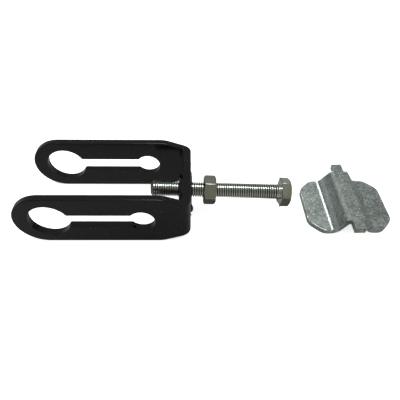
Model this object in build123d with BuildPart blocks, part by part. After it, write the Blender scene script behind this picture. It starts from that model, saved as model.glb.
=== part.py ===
from build123d import *
import math
import os

# Trailer coupler lock: a bent steel yoke whose two ears carry keyhole slots, an M10 nut welded
# into its web, a long hexagon bolt with its lock nut, and a loose pressed clamp plate.
# Origin: on the axis of the two large eyes, midway between the ears. X runs from the open end
# of the yoke along the bolt to its head, Y runs across the ears, Z is up. The yoke stands on
# the lower edges of its ears and the clamp plate lies beside the bolt head on the same ground.

# --- yoke ---
strap_thickness = 5.0
yoke_width = 57.0
ear_height = 38.0
web_height = 28.2
web_face_x = 87.0
bend_outer_radius = 6.0
ear_end_offset = 3.0
eye_radius = 12.75
tab_eye_radius = 8.2
eye_spacing = 57.0
slot_width = 10.5
slot_corner_radius = 1.5
taper_start_x = 69.2
taper_end_x = 83.2
taper_start_round = 18.0
taper_end_round = 8.0
strap_edge_round = 0.9
strap_inner_edge_round = 0.8
keyhole_edge_round = 0.4

# --- M10 thread and hexagons ---
thread_major_radius = 4.97
thread_root_radius = 4.1
thread_pitch = 1.5
nut_bore_radius = 5.05
# the nut was welded in slightly askew, so the thread's axis leans down towards the bolt head
thread_lean = math.radians(2.1)
thread_lean_x = 80.0
across_flats = 17.0
hexagon_radius = across_flats / math.sqrt(3)
chamfer_slope = math.tan(math.radians(30))

# --- weld nut and its weld ---
weld_nut_x = 79.1
weld_nut_height = 8.5
weld_nut_turn = 32.5
web_hole_radius = 10.2
weld_ring_radius = 12.2
weld_ring_height = 0.55
weld_depth = 3.0
weld_drop_radius = 2.7
weld_drop_rise = 1.7
weld_drop_y = -12.6
weld_drop_z = -5.0

# --- bolt ---
bolt_tip_x = 60.7
bolt_length = 85.8
bolt_head_height = 6.4
bolt_head_turn = 38.2
bolt_neck_length = 2.4
bolt_tip_chamfer = 1.1

# --- lock nut ---
lock_nut_x = 95.4
lock_nut_height = 8.0
lock_nut_turn = 52.65

# --- clamp plate ---
plate_centre_x = 193.8
plate_centre_y = 0.8
plate_turn = 1.2
plate_thickness = 3.8
plate_width = 56.5
plate_length = 46.6
plate_height = 13.5
plate_corner_cut = 8.5
plate_corner_round = 7.5
ridge_foot_half = 12.7
ridge_crest_half = 6.15
channel_foot_half = 10.5
channel_crest_half = 4.1
ridge_foot_round = 4.5
ridge_crest_round = 3.0
channel_foot_round = 8.0
channel_crest_round = 1.5
tab_width = 7.0
tab_overall_length = 62.0
tab_end_chamfer = 0.6
plate_edge_round = 0.5

ground_z = -ear_height / 2
strap_centre_y = yoke_width / 2 - strap_thickness / 2
strap_centre_radius = bend_outer_radius - strap_thickness / 2
ear_tip_x = -ear_end_offset - ear_height / 2
bolt_head_x = bolt_tip_x + bolt_length
thread_direction = (math.cos(thread_lean), 0, -math.sin(thread_lean))
thread_origin = (thread_lean_x * (1 - math.cos(thread_lean)), 0, thread_lean_x * math.sin(thread_lean))
thread_axis = Axis(thread_origin, thread_direction)
thread_across = Plane(thread_origin, x_dir=(0, 1, 0), z_dir=thread_direction)
thread_up = (math.sin(thread_lean), 0, math.cos(thread_lean))
thread_side = Plane(thread_origin, x_dir=thread_direction, z_dir=thread_up)

os.makedirs("parts", exist_ok=True)


def hexagon_outline(start_x, height, first_round, last_round):
    """Half outline of a hexagon turned with 30 degree chamfers on its two ends."""
    corner = hexagon_radius + 0.5
    return [
        (start_x, 0),
        (start_x, first_round),
        (start_x + (corner - first_round) * chamfer_slope, corner),
        (start_x + height - (corner - last_round) * chamfer_slope, corner),
        (start_x + height, last_round),
        (start_x + height, 0),
    ]


# Yoke: one flat strap, waisted at its middle, pierced, then bent into a U.
with BuildPart() as yoke:
    with BuildSketch(Plane.XY.offset(-ear_height / 2)):
        with BuildLine() as strap_line:
            FilletPolyline(
                (ear_tip_x - 1, -strap_centre_y),
                (web_face_x - strap_thickness / 2, -strap_centre_y),
                (web_face_x - strap_thickness / 2, strap_centre_y),
                (ear_tip_x - 1, strap_centre_y),
                radius=strap_centre_radius,
            )
        trace(line_width=strap_thickness)
    extrude(amount=ear_height)
    # side outline shared by both ears: round end, straight ear, taper down to the web
    with BuildSketch(Plane.XZ) as side_outline:
        with BuildLine():
            Polyline(
                (-ear_end_offset, ear_height / 2),
                (taper_start_x, ear_height / 2),
                (taper_end_x, web_height / 2),
                (web_face_x + 1, web_height / 2),
                (web_face_x + 1, -web_height / 2),
                (taper_end_x, -web_height / 2),
                (taper_start_x, -ear_height / 2),
                (-ear_end_offset, -ear_height / 2),
            )
            ThreePointArc(
                (-ear_end_offset, -ear_height / 2),
                (ear_tip_x, 0),
                (-ear_end_offset, ear_height / 2),
            )
        make_face()
        corners = side_outline.vertices()
        shoulder = corners.filter_by_position(Axis.X, taper_start_x - 0.1, taper_start_x + 0.1)
        fillet(shoulder, radius=taper_start_round)
        corners = side_outline.vertices()
        waist = corners.filter_by_position(Axis.X, taper_end_x - 0.1, taper_end_x + 0.1)
        fillet(waist, radius=taper_end_round)
    extrude(amount=yoke_width, both=True, mode=Mode.INTERSECT)
    # keyhole through both ears: large eye, small eye and the slot that joins them
    with BuildSketch(Plane.XZ) as keyhole:
        Circle(eye_radius)
        with Locations((eye_spacing, 0)):
            Circle(tab_eye_radius)
        with Locations((eye_spacing / 2, 0)):
            Rectangle(eye_spacing, slot_width)
        corners = keyhole.vertices()
        mouths = corners.filter_by_position(Axis.X, eye_radius - 3, eye_spacing - tab_eye_radius + 3)
        fillet(mouths, radius=slot_corner_radius)
    extrude(amount=yoke_width, both=True, mode=Mode.SUBTRACT)
    # round hole in the web for the weld nut
    with BuildSketch(Plane.YZ.offset(web_face_x - strap_thickness - 1)):
        Circle(web_hole_radius)
    extrude(amount=strap_thickness + 2, mode=Mode.SUBTRACT)
    # rolled edges along the strap, and slightly softened keyhole borders on the outer faces
    ear_borders = yoke.edges().filter_by(lambda edge: edge.bounding_box().size.Y < 0.01 and edge.length > 1)
    around_keyhole = ear_borders.filter_by(
        lambda edge: edge.bounding_box().max.Z < eye_radius + 0.1
        and edge.bounding_box().min.Z > -eye_radius - 0.1
        and edge.bounding_box().max.X < eye_spacing + tab_eye_radius + 0.1
    )
    outer_borders = ear_borders.filter_by(lambda edge: abs(edge.center().Y) > yoke_width / 2 - 0.1)
    inner_borders = ear_borders.filter_by(lambda edge: abs(edge.center().Y) < yoke_width / 2 - 0.1)
    fillet([edge for edge in outer_borders if edge not in around_keyhole], radius=strap_edge_round)
    fillet([edge for edge in inner_borders if edge not in around_keyhole], radius=strap_inner_edge_round)
    fillet([edge for edge in outer_borders if edge in around_keyhole], radius=keyhole_edge_round)
yoke.part.label = "yoke"
export_step(yoke.part, "parts/yoke.step")

# Weld nut: M10 hexagon nut set through the web, its inner end standing proud.
with BuildPart() as weld_nut:
    with BuildSketch(thread_across.offset(weld_nut_x)):
        RegularPolygon(hexagon_radius, 6, rotation=weld_nut_turn)
    extrude(amount=weld_nut_height)
    with BuildSketch(thread_side):
        with BuildLine():
            Polyline(*hexagon_outline(weld_nut_x, weld_nut_height, 8.3, 9.2), close=True)
        make_face()
    revolve(axis=thread_axis, mode=Mode.INTERSECT)
    with BuildSketch(thread_across.offset(weld_nut_x - 1)):
        Circle(nut_bore_radius)
    extrude(amount=weld_nut_height + 2, mode=Mode.SUBTRACT)
    bore_mouths = weld_nut.edges().filter_by(GeomType.CIRCLE).sort_by(SortBy.RADIUS)[:2]
    chamfer(bore_mouths, length=0.7)
weld_nut.part.label = "weld_nut"
export_step(weld_nut.part, "parts/weld_nut.step")

# Weld: metal run round the nut in the mouth of the web hole, with one heavier drop below it.
with BuildPart() as nut_weld:
    with BuildSketch(Plane.XY):
        with BuildLine():
            Polyline(
                (web_face_x - weld_depth, 0),
                (web_face_x - weld_depth, web_hole_radius),
                (web_face_x, web_hole_radius),
                (web_face_x, weld_ring_radius),
            )
            ThreePointArc(
                (web_face_x, weld_ring_radius),
                (web_face_x + weld_ring_height, web_hole_radius + 0.7),
                (web_face_x + 0.3, web_hole_radius - 1.6),
            )
            Polyline(
                (web_face_x + 0.3, web_hole_radius - 1.6),
                (web_face_x + 0.3, 0),
                (web_face_x - weld_depth, 0),
            )
        make_face()
    revolve(axis=Axis.X)
    with Locations((web_face_x + weld_drop_rise - weld_drop_radius, weld_drop_y, weld_drop_z)):
        Sphere(weld_drop_radius)
    with BuildSketch(Plane.YZ.offset(web_face_x - strap_thickness)):
        Circle(web_hole_radius + 8)
        Circle(web_hole_radius, mode=Mode.SUBTRACT)
    extrude(amount=strap_thickness, mode=Mode.SUBTRACT)
    with BuildSketch(thread_across.offset(weld_nut_x)):
        RegularPolygon(hexagon_radius, 6, rotation=weld_nut_turn)
    extrude(amount=weld_nut_height + 5, mode=Mode.SUBTRACT)
nut_weld.part.label = "nut_weld"
export_step(nut_weld.part, "parts/nut_weld.step")

# Bolt: M10 hexagon bolt threaded to the head, threads cut as pitch-spaced grooves.
thread_start_x = bolt_tip_x + bolt_tip_chamfer
thread_count = int((bolt_length - bolt_neck_length - bolt_tip_chamfer) / thread_pitch)
shank_outline = [(bolt_tip_x, 0), (bolt_tip_x, thread_major_radius - bolt_tip_chamfer)]
for turn in range(thread_count):
    crest_x = thread_start_x + turn * thread_pitch
    shank_outline += [
        (crest_x, thread_major_radius),
        (crest_x + 0.2, thread_major_radius),
        (crest_x + 0.75, thread_root_radius),
        (crest_x + 0.95, thread_root_radius),
    ]
last_crest_x = thread_start_x + thread_count * thread_pitch
shank_outline += [
    (last_crest_x, thread_major_radius),
    (bolt_head_x + 0.1, thread_major_radius),
    (bolt_head_x + 0.1, 0),
]
with BuildPart() as bolt:
    with BuildSketch(thread_across.offset(bolt_head_x)):
        RegularPolygon(hexagon_radius, 6, rotation=bolt_head_turn)
    extrude(amount=bolt_head_height)
    with BuildSketch(thread_side):
        with BuildLine():
            Polyline(*hexagon_outline(bolt_head_x, bolt_head_height, 9.3, 8.1), close=True)
        make_face()
    revolve(axis=thread_axis, mode=Mode.INTERSECT)
    with BuildSketch(thread_side):
        with BuildLine():
            Polyline(*shank_outline, close=True)
        make_face()
    revolve(axis=thread_axis)
bolt.part.label = "bolt"
export_step(bolt.part, "parts/bolt.step")

# Lock nut: M10 hexagon nut running on the bolt outside the web.
with BuildPart() as lock_nut:
    with BuildSketch(thread_across.offset(lock_nut_x)):
        RegularPolygon(hexagon_radius, 6, rotation=lock_nut_turn)
    extrude(amount=lock_nut_height)
    with BuildSketch(thread_side):
        with BuildLine():
            Polyline(*hexagon_outline(lock_nut_x, lock_nut_height, 8.5, 8.5), close=True)
        make_face()
    revolve(axis=thread_axis, mode=Mode.INTERSECT)
    with BuildSketch(thread_across.offset(lock_nut_x - 1)):
        Circle(nut_bore_radius)
    extrude(amount=lock_nut_height + 2, mode=Mode.SUBTRACT)
    bore_mouths = lock_nut.edges().filter_by(GeomType.CIRCLE).sort_by(SortBy.RADIUS)[:2]
    chamfer(bore_mouths, length=0.7)
lock_nut.part.label = "lock_nut"
export_step(lock_nut.part, "parts/lock_nut.step")

# Clamp plate: pressed hat-section plate with a guide tab at each end of its ridge.
plate_foot = Plane((plate_centre_x, plate_centre_y, ground_z)).rotated((0, 0, plate_turn))
plate_section = Plane(plate_foot.origin, x_dir=plate_foot.x_dir, z_dir=-plate_foot.y_dir)
ridge_outline = [
    (-plate_width / 2, plate_thickness),
    (-ridge_foot_half, plate_thickness),
    (-ridge_crest_half, plate_height),
    (ridge_crest_half, plate_height),
    (ridge_foot_half, plate_thickness),
    (plate_width / 2, plate_thickness),
]
channel_outline = [
    (plate_width / 2, 0),
    (channel_foot_half, 0),
    (channel_crest_half, plate_height - plate_thickness),
    (-channel_crest_half, plate_height - plate_thickness),
    (-channel_foot_half, 0),
    (-plate_width / 2, 0),
]
section_rounds = {
    ridge_foot_half: ridge_foot_round,
    ridge_crest_half: ridge_crest_round,
    channel_foot_half: channel_foot_round,
    channel_crest_half: channel_crest_round,
}
with BuildPart() as clamp_plate:
    with BuildSketch(plate_section) as section:
        with BuildLine():
            Polyline(*ridge_outline, *channel_outline, close=True)
        make_face()
        for half, round_radius in section_rounds.items():
            bends = section.vertices().filter_by(lambda corner: abs(abs(corner.X) - half) < 0.01)
            fillet(bends, radius=round_radius)
    extrude(amount=plate_length / 2, both=True)
    with BuildSketch(plate_foot) as blank:
        Rectangle(plate_width, plate_length)
        chamfer(blank.vertices(), length=plate_corner_cut)
        fillet(blank.vertices(), radius=plate_corner_round)
    extrude(amount=plate_height, mode=Mode.INTERSECT)
    plate_border = (
        clamp_plate.edges()
        .filter_by(lambda edge: edge.length < plate_length - 1)
        .filter_by(Axis.Z, reverse=True)
    )
    fillet(plate_border, radius=plate_edge_round)
    # one guide tab at each end of the ridge, made as a single bar along its crest
    with BuildSketch(plate_foot.offset(plate_height - plate_thickness)):
        Rectangle(tab_width, tab_overall_length)
    extrude(amount=plate_thickness)
    tab_ends = clamp_plate.faces().sort_by(Axis.Y)
    chamfer(tab_ends[0].edges() + tab_ends[-1].edges(), length=tab_end_chamfer)
clamp_plate.part.label = "clamp_plate"
export_step(clamp_plate.part, "parts/clamp_plate.step")
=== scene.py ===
import math
import random

import bmesh
import bpy
from mathutils import Matrix, Vector, noise


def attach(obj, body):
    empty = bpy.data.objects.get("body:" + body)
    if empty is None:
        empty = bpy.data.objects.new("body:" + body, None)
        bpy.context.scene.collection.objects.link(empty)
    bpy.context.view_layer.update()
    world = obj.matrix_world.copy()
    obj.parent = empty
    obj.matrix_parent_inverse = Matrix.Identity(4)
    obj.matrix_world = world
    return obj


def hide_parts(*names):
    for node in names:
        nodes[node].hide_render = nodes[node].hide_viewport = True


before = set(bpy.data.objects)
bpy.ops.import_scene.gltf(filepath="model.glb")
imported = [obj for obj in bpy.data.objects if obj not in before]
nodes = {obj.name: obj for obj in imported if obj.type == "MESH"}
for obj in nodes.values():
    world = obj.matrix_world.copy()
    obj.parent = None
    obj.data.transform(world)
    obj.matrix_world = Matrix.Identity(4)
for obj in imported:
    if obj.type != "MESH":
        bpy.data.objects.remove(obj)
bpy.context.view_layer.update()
mm = 0.001

# ---------------------------------------------------------------------------------------------
# Yoke. A waisted strap of 5 mm steel, pierced with a keyhole slot in each ear, bent into a U and
# then dipped in gloss black paint, which holds a few dust specks; a lighter grey is painted in patches
# along the slot's edges.
# ---------------------------------------------------------------------------------------------


class Value:
    """One socket's value on its way through a material. Arithmetic on it adds Math nodes."""

    def __init__(self, finish, socket):
        self.finish, self.socket = finish, socket

    def math(self, operation, *others):
        inputs = dict(enumerate((self, *others)))
        return self.finish.add("ShaderNodeMath", {"operation": operation}, inputs)

    def reflected(self, operation, first):
        return self.finish.add("ShaderNodeMath", {"operation": operation}, {0: first, 1: self})

    def __add__(self, other):
        return self.math("ADD", other)

    __radd__ = __add__

    def __sub__(self, other):
        return self.math("SUBTRACT", other)

    def __rsub__(self, other):
        return self.reflected("SUBTRACT", other)

    def __mul__(self, other):
        return self.math("MULTIPLY", other)

    __rmul__ = __mul__

    def __abs__(self):
        return self.math("ABSOLUTE")

    def __pow__(self, other):
        return self.math("POWER", other)

    def smallest(self, other):
        return self.math("MINIMUM", other)

    def largest(self, other):
        return self.math("MAXIMUM", other)

    def between(self, low, high):
        """0 below low, 1 above high, smooth in between; with low over high it falls from 1 to 0."""
        settings = {"interpolation_type": "SMOOTHSTEP"}
        ends = {"From Min": min(low, high), "From Max": max(low, high)}
        ramp = self.finish.add("ShaderNodeMapRange", settings, {"Value": self, **ends})
        return 1 - ramp if low > high else ramp


class Finish:
    """A material, or the studio's world: its shader and the nodes that feed it."""

    def __init__(self, owner, shader="Principled BSDF", **uniform):
        owner.use_nodes = True
        self.owner, self.tree = owner, owner.node_tree
        self.shader = self.tree.nodes[shader]
        self.wear(**uniform)

    def feed(self, node, inputs):
        for name, value in inputs.items():
            if isinstance(value, Value):
                self.tree.links.new(value.socket, node.inputs[name])
            else:
                node.inputs[name].default_value = value

    def add(self, kind, settings=None, inputs=None, output=0):
        """Adds a node: its settings first, then the values or links of its sockets."""
        node = self.tree.nodes.new(kind)
        for name, setting in (settings or {}).items():
            if name == "stops":
                ramp = node.color_ramp
                while len(ramp.elements) < len(setting):
                    ramp.elements.new(0.5)
                for element, (place, colour) in zip(ramp.elements, setting):
                    element.position, element.color = place, colour
            else:
                setattr(node, name, setting)
        self.feed(node, inputs or {})
        return Value(self, node.outputs[output])

    def place(self):
        """Where on the object a point lies, in metres, moving with its body."""
        return self.add("ShaderNodeTexCoord", output="Object")

    def axis(self, place, name):
        return self.add("ShaderNodeSeparateXYZ", inputs={0: place}, output=name)

    def grain(self, place, size, detail=2.0, roughness=0.5):
        """Soft noise whose blobs are about size metres across, around 0.5."""
        inputs = {"Vector": place, "Scale": 1 / size, "Detail": detail, "Roughness": roughness}
        return self.add("ShaderNodeTexNoise", inputs=inputs)

    def cells(self, place, size, output="Distance"):
        """Scattered cells about size metres across: the distance from their middles, or a random colour."""
        return self.add("ShaderNodeTexVoronoi", inputs={"Vector": place, "Scale": 1 / size}, output=output)

    def blend(self, factor, first, second, way="MIX"):
        """A colour between two others, or the first tinted by the second."""
        settings = {"data_type": "RGBA", "blend_type": way}
        return self.add("ShaderNodeMix", settings, {0: factor, 6: first, 7: second}, 2)

    def stretched(self, place, by):
        return self.add("ShaderNodeVectorMath", {"operation": "MULTIPLY"}, {0: place, 1: by})

    def bump(self, height, depth):
        inputs = {"Distance": depth, "Height": height}
        self.feed(self.shader, {"Normal": self.add("ShaderNodeBump", inputs=inputs)})

    def wear(self, **sockets):
        self.feed(self.shader, {key.replace("_", " "): value for key, value in sockets.items()})


def grey(level):
    return (level, level, level, 1)


def rub(node, finish):
    """Puts a finish on a CAD node in place of its plain one."""
    nodes[node].data.materials.clear()
    nodes[node].data.materials.append(finish.owner)


eye_radius = 12.75 * mm
tab_eye_x, tab_eye_radius = 57 * mm, 8.2 * mm
slot_half = 5.25 * mm
ear_half_height = 19 * mm
ear_middle_y, strap_half = 26 * mm, 2.5 * mm
slot_edge = 0.3 * mm
web_x = 87 * mm


def keyhole_distance(x, z):
    """Distance from the border of the keyhole slot, seen square on to an ear."""
    to_eye = (x * x + z * z) ** 0.5 - eye_radius
    past = x - tab_eye_x
    to_tab_eye = (past * past + z * z) ** 0.5 - tab_eye_radius
    beyond = abs(x - tab_eye_x / 2) - tab_eye_x / 2
    to_slot = (abs(z) - slot_half).largest(beyond)
    return to_eye.smallest(to_tab_eye).smallest(to_slot)


deep_black, thin_black = grey(0.002), grey(0.0035)
black = Finish(bpy.data.materials.new("black_paint"), IOR=1.5, Specular_IOR_Level=0.4)
where = black.place()
x, y, z = (black.axis(where, name) for name in "XYZ")
clouds = black.grain(where, 16 * mm, detail=3)
runs = black.grain(black.stretched(where, (0.35, 1, 1)), 5 * mm, detail=3)
dust_patches = black.grain(where, 11 * mm).between(0.52, 0.62)
dust = black.cells(where, 2.1 * mm).between(0.13, 0.05) * dust_patches
# a lighter grey painted in patches along the slot's edges, in from both faces of the ear
off_middle = abs(abs(y) - ear_middle_y) - (strap_half - slot_edge)
slot_rim = abs(keyhole_distance(x, z)).between(0.5 * mm, 0.0) * off_middle.between(-0.1 * mm, 0.2 * mm)
lighter_slot_rim = slot_rim * black.grain(where, 2.5 * mm, detail=4).between(0.44, 0.66)
coat = black.blend(clouds, deep_black, thin_black)
# the slot's edges painted a lighter grey in patches
coat = black.blend(lighter_slot_rim * 0.3, coat, grey(0.06))
coat = black.blend(dust * 0.35, coat, grey(0.35))
black.wear(Base_Color=coat, Roughness=0.1 + clouds * 0.08 + runs * 0.04 + dust * 0.3)
black.bump(runs * 0.7 + dust * 0.4, 0.025 * mm)
rub("yoke", black)

# ---------------------------------------------------------------------------------------------
# Weld nut. A plain M10 hexagon nut set through the hole in the web and welded there before
# painting, so the same black covers it.
# ---------------------------------------------------------------------------------------------
rub("weld_nut", black)

# ---------------------------------------------------------------------------------------------
# Weld. Short hand-laid runs fill the mouth of the web hole round the nut, with one heavy drop on
# the near side and a little spatter on the web. The paint went on over all of it.
# ---------------------------------------------------------------------------------------------
bead_radius, bead_half_width = 10.3 * mm, 1.9 * mm
bead_height, bead_root = 0.65 * mm, 1.2 * mm
ring_steps, section_steps = 240, 14
drop_place, drop_radii = (86.7 * mm, -12.6 * mm, -5 * mm), (2.0 * mm, 2.6 * mm, 2.8 * mm)
spatter_count = 16


def ripple(angle):
    """How proud the bead stands at an angle round the nut: overlapping round pools."""
    pool = abs(math.sin(angle * 13 + 0.6 * math.sin(3 * angle)))
    waver = noise.noise(Vector((math.cos(angle), math.sin(angle), 2.0)) * 2.3)
    return 0.62 + 0.38 * pool + 0.25 * waver


def bead_point(row, column):
    angle = 2 * math.pi * column / ring_steps
    around = math.pi * 2 * row / section_steps
    proud = ripple(angle)
    radius = bead_radius + bead_half_width * math.cos(around) * (0.8 + 0.2 * proud)
    rise = math.sin(around)
    lift = bead_height * proud * rise if rise > 0 else bead_root * rise
    return Vector((web_x + lift, radius * math.cos(angle), radius * math.sin(angle)))


def closed_ring(mesh, rows, columns, point):
    """A ring of faces, closed both ways, from point(row, column)."""
    verts = [[mesh.verts.new(point(r, c)) for c in range(columns)] for r in range(rows)]
    for r in range(rows):
        for c in range(columns):
            low, high = verts[r], verts[(r + 1) % rows]
            mesh.faces.new((low[c], low[(c + 1) % columns], high[(c + 1) % columns], high[c]))


def blob(mesh, centre, radii, seed):
    """A lumpy droplet of spattered metal, half sunk in the steel."""
    ball = bmesh.ops.create_icosphere(mesh, subdivisions=3, radius=1)["verts"]
    for vert in ball:
        swell = 1 + 0.12 * noise.noise(vert.co * 1.7 + Vector((seed, 0, 0)))
        vert.co = Vector(centre) + Vector([a * b * swell for a, b in zip(vert.co, radii)])


def finish_mesh(name, mesh, finish, body, smooth_angle=None):
    """Turns a bmesh into a piece with its finish and makes it ride on a body."""
    bmesh.ops.recalc_face_normals(mesh, faces=mesh.faces)
    data = bpy.data.meshes.new(name)
    mesh.to_mesh(data)
    mesh.free()
    piece = bpy.data.objects.new(name, data)
    bpy.context.scene.collection.objects.link(piece)
    data.materials.append(finish.owner)
    for polygon in data.polygons:
        polygon.use_smooth = True
    if smooth_angle:
        data.set_sharp_from_angle(angle=math.radians(smooth_angle))
    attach(piece, body)
    return piece


bead = bmesh.new()
closed_ring(bead, section_steps, ring_steps, bead_point)
blob(bead, drop_place, drop_radii, 3)
spatter = random.Random(7)
for number in range(spatter_count):
    turn = spatter.uniform(0, 2 * math.pi)
    reach = spatter.uniform(12.5, 15.5) * mm
    size = spatter.uniform(0.2, 0.45) * mm
    across, up = reach * math.cos(turn) * 1.5, reach * math.sin(turn) * 0.75
    blob(bead, (web_x, across, up), (size, size * 1.2, size * 1.2), number)
weld = finish_mesh("weld_bead", bead, black, "frame")
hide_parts("nut_weld")

# ---------------------------------------------------------------------------------------------
# Bolt. A bright zinc M10 hexagon bolt, its right-hand 1.5 mm thread rolled up to just short of
# the head, the head cold forged with a chamfered crown. It leans a little with its weld nut.
# ---------------------------------------------------------------------------------------------
bolt_tip_x, bolt_head_x, bolt_end_x = 60.7 * mm, 146.5 * mm, 152.9 * mm
thread_lean, thread_lean_x = math.radians(2.1), 80 * mm
pitch = 1.5 * mm
crest, root = 5.0 * mm, 3.95 * mm
thread_end_x = bolt_head_x - 2.4 * mm
run_out = 1.2 * mm
tip_chamfer, tip_slope = 1.15 * mm, 0.95
shank_columns = 72
# one turn of the thread: distance along it, in pitches, and radius
tooth = ((0.0, crest - 0.05 * mm), (0.05, crest), (0.38, crest), (0.43, crest - 0.05 * mm),
         (0.62, root + 0.06 * mm), (0.66, root), (0.76, root), (0.80, root + 0.06 * mm))
bolt_turn = math.radians(38.2)
bolt_seat_round, bolt_crown_round = 9.3 * mm, 8.1 * mm
hexagon_flat = 8.5 * mm
chamfer_slope = math.tan(math.radians(30))
side_steps = 12
edge_round, sharp_from = 0.28 * mm, math.radians(40)
bore_mouth = 0.7 * mm


def smooth_step(value):
    value = min(max(value, 0), 1)
    return value * value * (3 - 2 * value)


def thread_point(row, column):
    turn, step = divmod(row, len(tooth))
    along, radius = tooth[step]
    x = bolt_tip_x - 3 * pitch + (turn + along + column / shank_columns) * pitch
    tip_cone = crest - tip_chamfer + max(x - bolt_tip_x, 0) * tip_slope
    radius = min(radius, tip_cone)
    fade = smooth_step((x - thread_end_x) / run_out)
    radius = radius + (crest - radius) * fade
    angle = 2 * math.pi * column / shank_columns
    return Vector((x, radius * math.cos(angle), radius * math.sin(angle)))


def threaded_shank(mesh):
    """The thread as one true helix, cut square at the tip and inside the head."""
    turns = int((bolt_head_x - bolt_tip_x) / pitch) + 7
    rows, per_turn = turns * len(tooth), len(tooth)
    verts = [[mesh.verts.new(thread_point(r, c)) for c in range(shank_columns)] for r in range(rows)]
    for low, high in zip(verts, verts[1:]):
        for c in range(shank_columns - 1):
            mesh.faces.new((low[c], low[c + 1], high[c + 1], high[c]))
    for r in range(rows - per_turn - 1):
        low, high = verts[r + per_turn], verts[r + per_turn + 1]
        mesh.faces.new((verts[r][-1], low[0], high[0], verts[r + 1][-1]))
    for plane_x, side in ((bolt_tip_x, -1), (bolt_head_x + 0.5 * mm, 1)):
        geometry = mesh.verts[:] + mesh.edges[:] + mesh.faces[:]
        cut = bmesh.ops.bisect_plane(mesh, geom=geometry, plane_co=(plane_x, 0, 0), dist=1e-7,
                                     plane_no=(side, 0, 0), clear_outer=True)["geom_cut"]
        rim = [part for part in cut if isinstance(part, bmesh.types.BMEdge)]
        bmesh.ops.holes_fill(mesh, edges=rim, sides=0)


def hexagon(mesh, first_x, last_x, turn, first_round, last_round, bore=None):
    """A hexagon prism, its corners turned off at 30 degrees on both ends, with or without a bore."""
    columns = side_steps * 6
    angles = [turn + 2 * math.pi * c / columns for c in range(columns)]

    def reach(angle):
        return hexagon_flat / math.cos((angle - turn) % (math.pi / 3) - math.pi / 6)

    def ring(spot):
        row = []
        for angle in angles:
            x, radius = spot(angle)
            row.append(mesh.verts.new((x, radius * math.cos(angle), radius * math.sin(angle))))
        return row

    def face(x, rounding):
        return lambda angle: (x, min(rounding, reach(angle)))

    def corner(x, rounding, side):
        return lambda angle: (x + side * max(reach(angle) - rounding, 0) * chamfer_slope, reach(angle))

    spots = [face(first_x, first_round), corner(first_x, first_round, 1),
             corner(last_x, last_round, -1), face(last_x, last_round)]
    if bore:
        spots += [lambda angle: (last_x, bore + bore_mouth), lambda angle: (last_x - bore_mouth, bore),
                  lambda angle: (first_x + bore_mouth, bore), lambda angle: (first_x, bore + bore_mouth)]
    grid = [ring(spot) for spot in spots]
    pairs = list(zip(grid, grid[1:] + grid[:1])) if bore else list(zip(grid, grid[1:]))
    faces = []
    for low, high in pairs:
        for c in range(columns):
            around = (c + 1) % columns
            faces.append(mesh.faces.new((low[c], low[around], high[around], high[c])))
    if not bore:
        faces += [mesh.faces.new(grid[0][::-1]), mesh.faces.new(grid[-1])]
    corners = [vert for row in grid for vert in row]
    bmesh.ops.remove_doubles(mesh, verts=corners, dist=0.002 * mm)
    edges = {edge for face in faces if face.is_valid for edge in face.edges}
    sharp = [edge for edge in edges if edge.is_manifold and edge.calc_face_angle() > sharp_from]
    bmesh.ops.bevel(mesh, geom=sharp, offset=edge_round, segments=3, profile=0.5, affect="EDGES")


def lean(mesh):
    """Turns a mesh from the X axis on to the leaning axis of the thread."""
    tilt = Matrix.Rotation(thread_lean, 3, "Y")
    bmesh.ops.rotate(mesh, verts=mesh.verts, cent=(thread_lean_x, 0, 0), matrix=tilt)


bolt_mesh = bmesh.new()
threaded_shank(bolt_mesh)
hexagon(bolt_mesh, bolt_head_x, bolt_end_x, bolt_turn, bolt_seat_round, bolt_crown_round)
lean(bolt_mesh)

dull_zinc, light_zinc = (0.64, 0.70, 0.635, 1), (0.84, 0.91, 0.84, 1)
hexagon_shade_zinc, stained_zinc = (0.33, 0.33, 0.275, 1), (0.34, 0.33, 0.27, 1)
groove_shade = (0.03, 0.036, 0.03, 1)
zinc = Finish(bpy.data.materials.new("bright_zinc"), Metallic=1.0, IOR=1.5)
where = zinc.place()
x, y, z = (zinc.axis(where, name) for name in "XYZ")
above_axis = z + (x - thread_lean_x) * math.sin(thread_lean)
off_axis = (y * y + above_axis * above_axis) ** 0.5
in_groove = off_axis.between(crest - 0.12 * mm, crest - 0.5 * mm)
on_hexagon = off_axis.between(5.1 * mm, 5.4 * mm)
clouds = zinc.grain(where, 6 * mm, detail=4)
scuffs = zinc.grain(zinc.stretched(where, (1, 0.3, 1)), 0.9 * mm, detail=3)
stains = zinc.grain(where, 2.2 * mm, detail=4).between(0.56, 0.72)
tone = zinc.blend(clouds, dull_zinc, light_zinc)
# painted dark reflection: the head's and nut's faces darker and more olive than the thread
tone = zinc.blend(on_hexagon * 0.6, tone, hexagon_shade_zinc)
tone = zinc.blend(stains * 0.35, tone, stained_zinc)
# painted shade: the thread's grooves darkened nearly to black
tone = zinc.blend(in_groove * 0.92, tone, groove_shade)
zinc.wear(Base_Color=tone, Roughness=0.12 + clouds * 0.1 + scuffs * 0.05 + in_groove * 0.3)
zinc.bump(scuffs * 0.3 + clouds * 0.7, 0.03 * mm)
bolt = finish_mesh("threaded_bolt", bolt_mesh, zinc, "bolt", smooth_angle=28)
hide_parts("bolt")

# ---------------------------------------------------------------------------------------------
# Lock nut. A plain M10 hexagon nut with the same bright zinc as the bolt, spun along its thread
# outside the web to lock it where it is set.
# ---------------------------------------------------------------------------------------------
nut_first_x, nut_last_x = 95.4 * mm, 103.4 * mm
nut_turn = math.radians(52.65)
nut_round, nut_bore = 8.5 * mm, 5.05 * mm
nut_mesh = bmesh.new()
hexagon(nut_mesh, nut_first_x, nut_last_x, nut_turn, nut_round, nut_round, bore=nut_bore)
lean(nut_mesh)
nut = finish_mesh("plated_nut", nut_mesh, zinc, "lock_nut", smooth_angle=28)
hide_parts("lock_nut")
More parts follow.
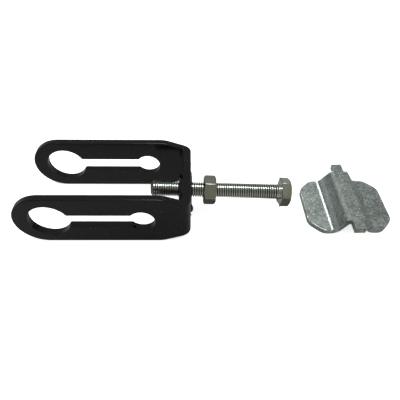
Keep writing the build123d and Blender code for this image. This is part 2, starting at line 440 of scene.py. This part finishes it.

# ---------------------------------------------------------------------------------------------
# Clamp plate. Pressed from 3.8 mm plate into a hat section and barrel zinc plated, which leaves
# a mottled, spangled grey on its faces, with painted glints. On the slope towards the bolt lie a
# painted highlight stripe and a painted dark band, a painted shade line runs along the crest's bend,
# and the cut ends carry a painted highlight.
# ---------------------------------------------------------------------------------------------
plate_centre_x, plate_turn = 193.8 * mm, math.radians(1.2)
plate_half_length, tabs_half_length, tab_half_width = 23.1 * mm, 30.6 * mm, 3.8 * mm
cut_fade = 0.5 * mm
dark_spangle, light_spangle = (0.29, 0.345, 0.315, 1), (0.57, 0.63, 0.60, 1)
painted_glint_zinc, painted_highlight_zinc, end_highlight_zinc = (0.92, 0.95, 0.93, 1), (0.80, 0.87, 0.86, 1), (0.92, 0.95, 0.92, 1)
painted_dark_zinc, crest_shade = (0.26, 0.31, 0.31, 1), (0.20, 0.23, 0.22, 1)
spangle = Finish(bpy.data.materials.new("spangled_zinc"), Metallic=1.0, IOR=1.5)
where = spangle.place()
x, y = spangle.axis(where, "X"), spangle.axis(where, "Y")
across = x + y * math.tan(plate_turn) - plate_centre_x


def band(middle, outer, inner):
    """A stripe along the plate: 1 within inner of its middle line, fading to 0 at outer."""
    return abs(across - middle).between(outer, inner)


def cut_end(half_length):
    return abs(y).between(half_length - cut_fade, half_length)


flake_tone = spangle.axis(spangle.cells(where, 0.9 * mm, output="Color"), "X")
mottle = spangle.grain(where, 2.4 * mm, detail=5, roughness=0.65)
broad = spangle.grain(where, 12 * mm, detail=2)
glints = flake_tone.between(0.86, 0.95) * spangle.grain(where, 7 * mm).between(0.46, 0.6)
level = (mottle * 0.55 + broad * 0.2 + flake_tone * 0.25).between(0.37, 0.64)
from_foot = across + 12.6 * mm
foot = from_foot.between(-2.6 * mm, -1.4 * mm) * from_foot.between(2.6 * mm, 1.6 * mm)
# painted highlight: a bright stripe near the foot of the slope towards the bolt
highlight_stripe = band(-11.3 * mm, 1.5 * mm, 0.4 * mm)
# painted dark reflection: a darker band across the slope towards the bolt
dark_stripe = band(-9.0 * mm, 1.3 * mm, 0.4 * mm)
crest_bend = band(-6.0 * mm, 2.4 * mm, 1.5 * mm)
beside_tabs = abs(across).between(tab_half_width - cut_fade, tab_half_width)
# painted highlight: the plate's ends beside the tabs and the tabs' ends lightened to near white
cut_ends = (cut_end(plate_half_length) * beside_tabs).largest(cut_end(tabs_half_length))
tone = spangle.blend(level, dark_spangle, light_spangle)
# painted glints: small specks of near-white painted highlight among the spangle
tone = spangle.blend(glints * 0.8, tone, painted_glint_zinc)
# the painted highlight stripe
tone = spangle.blend(highlight_stripe * 0.45, tone, painted_highlight_zinc)
# the painted dark band
tone = spangle.blend(dark_stripe * 0.35, tone, painted_dark_zinc)
tone = spangle.blend(crest_bend * 0.45, tone, crest_shade)
# the painted highlight on the ends
tone = spangle.blend(cut_ends * 0.8, tone, end_highlight_zinc)
spangle.wear(Base_Color=tone, Roughness=0.24 + mottle * 0.14 + crest_bend * 0.4
             - foot * 0.07 + highlight_stripe * 0.22)
spangle.bump(mottle * 0.7 + flake_tone * 0.3, 0.05 * mm)
rub("clamp_plate", spangle)

# ---------------------------------------------------------------------------------------------
# Floor, lights and camera. A sheet of near-white paper, lit a little from below like a light
# table, under soft studio lights, and looked at from above and in front of the near ear.
# ---------------------------------------------------------------------------------------------
floor_half, floor_gap = 4, 0.05 * mm
ground_z = -ear_half_height
floor_mesh = bmesh.new()
bmesh.ops.create_grid(floor_mesh, x_segments=8, y_segments=8, size=floor_half)
bmesh.ops.translate(floor_mesh, verts=floor_mesh.verts, vec=(0, 0, ground_z - floor_gap))
floor_data = bpy.data.meshes.new("floor")
floor_mesh.to_mesh(floor_data)
floor_mesh.free()
floor = bpy.data.objects.new("floor", floor_data)
bpy.context.scene.collection.objects.link(floor)
paper = Finish(bpy.data.materials.new("table_paper"), Roughness=0.9, Specular_IOR_Level=0.1,
               Emission_Color=grey(1.0), Emission_Strength=0.72)
fibres = paper.grain(paper.place(), 2 * mm, detail=3)
paper.wear(Base_Color=paper.blend(fibres, grey(0.93), grey(0.96)))
floor_data.materials.append(paper.owner)
floor.visible_glossy = False


def soft_light(name, place, aim, width, height, watts, glossy=True):
    lamp = bpy.data.lights.new(name, "AREA")
    lamp.shape, lamp.size, lamp.size_y = "RECTANGLE", width, height
    lamp.energy = watts
    holder = bpy.data.objects.new(name, lamp)
    holder.location = place
    facing = Vector(aim) - Vector(place)
    holder.rotation_euler = facing.to_track_quat("-Z", "Y").to_euler()
    holder.visible_glossy = glossy
    bpy.context.scene.collection.objects.link(holder)
    return holder


soft_light("ceiling", (0.08, 0, 1.1), (0.08, 0, 0), 2.4, 2.2, 14, glossy=False)
soft_light("overhead", (0.16, 0.14, 0.95), (0.16, 0, 0), 0.46, 0.14, 3.6)
strip = soft_light("strip", (0.152, 0.324, 0.37), (0.19, 0, 0), 0.09, 0.14, 0.36)
# the strip light reaches the clamp plate alone, as if a flag beside it shaded the yoke
lit_by_strip = bpy.data.collections.new("lit_by_strip")
lit_by_strip.objects.link(nodes["clamp_plate"])
strip.light_linking.receiver_collection = lit_by_strip

# how bright the studio's walls are, from straight down to straight up
walls = ((-1.0, 0.08), (-0.81, 0.12), (-0.71, 0.36), (0.05, 0.40),
         (0.3, 0.26), (0.5, 0.27), (0.75, 0.3), (1.0, 0.5))
warm_front = (0.86, 0.84, 0.68, 1)
studio = Finish(bpy.data.worlds.new("studio"), "Background", Strength=1.0)
bpy.context.scene.world = studio.owner
toward = studio.add("ShaderNodeTexCoord", output="Generated")
height, depth = studio.axis(toward, "Z"), studio.axis(toward, "Y")
stops = [((rise + 1) / 2, grey(level)) for rise, level in walls]
surround = studio.add("ShaderNodeValToRGB", {"stops": stops}, {"Fac": height * 0.5 + 0.5})
front = depth.between(0.1, -0.7) * height.between(0.0, 0.2)
studio.wear(Color=studio.blend(front, surround, warm_front, way="MULTIPLY"))
bpy.context.scene.view_settings.view_transform = "Standard"

camera_place = Vector((88.37, -187.24, 188.52)) * mm
yaw, pitch_down, roll = math.radians(1.49), math.radians(-46.76), math.radians(1.18)
camera_data = bpy.data.cameras.new("camera")
camera_data.sensor_width = 36
camera_data.lens = 35.98
camera_data.clip_start = 0.01
camera = bpy.data.objects.new("camera", camera_data)
bpy.context.scene.collection.objects.link(camera)
ahead = Vector((math.sin(yaw) * math.cos(pitch_down), math.cos(yaw) * math.cos(pitch_down),
                math.sin(pitch_down)))
level_right = Vector((math.cos(yaw), -math.sin(yaw), 0))
level_up = level_right.cross(ahead)
right = level_right * math.cos(roll) + level_up * math.sin(roll)
up = level_up * math.cos(roll) - level_right * math.sin(roll)
camera_turn = Matrix((right, up, -ahead)).transposed()
camera.matrix_world = Matrix.Translation(camera_place) @ camera_turn.to_4x4()
bpy.context.scene.camera = camera
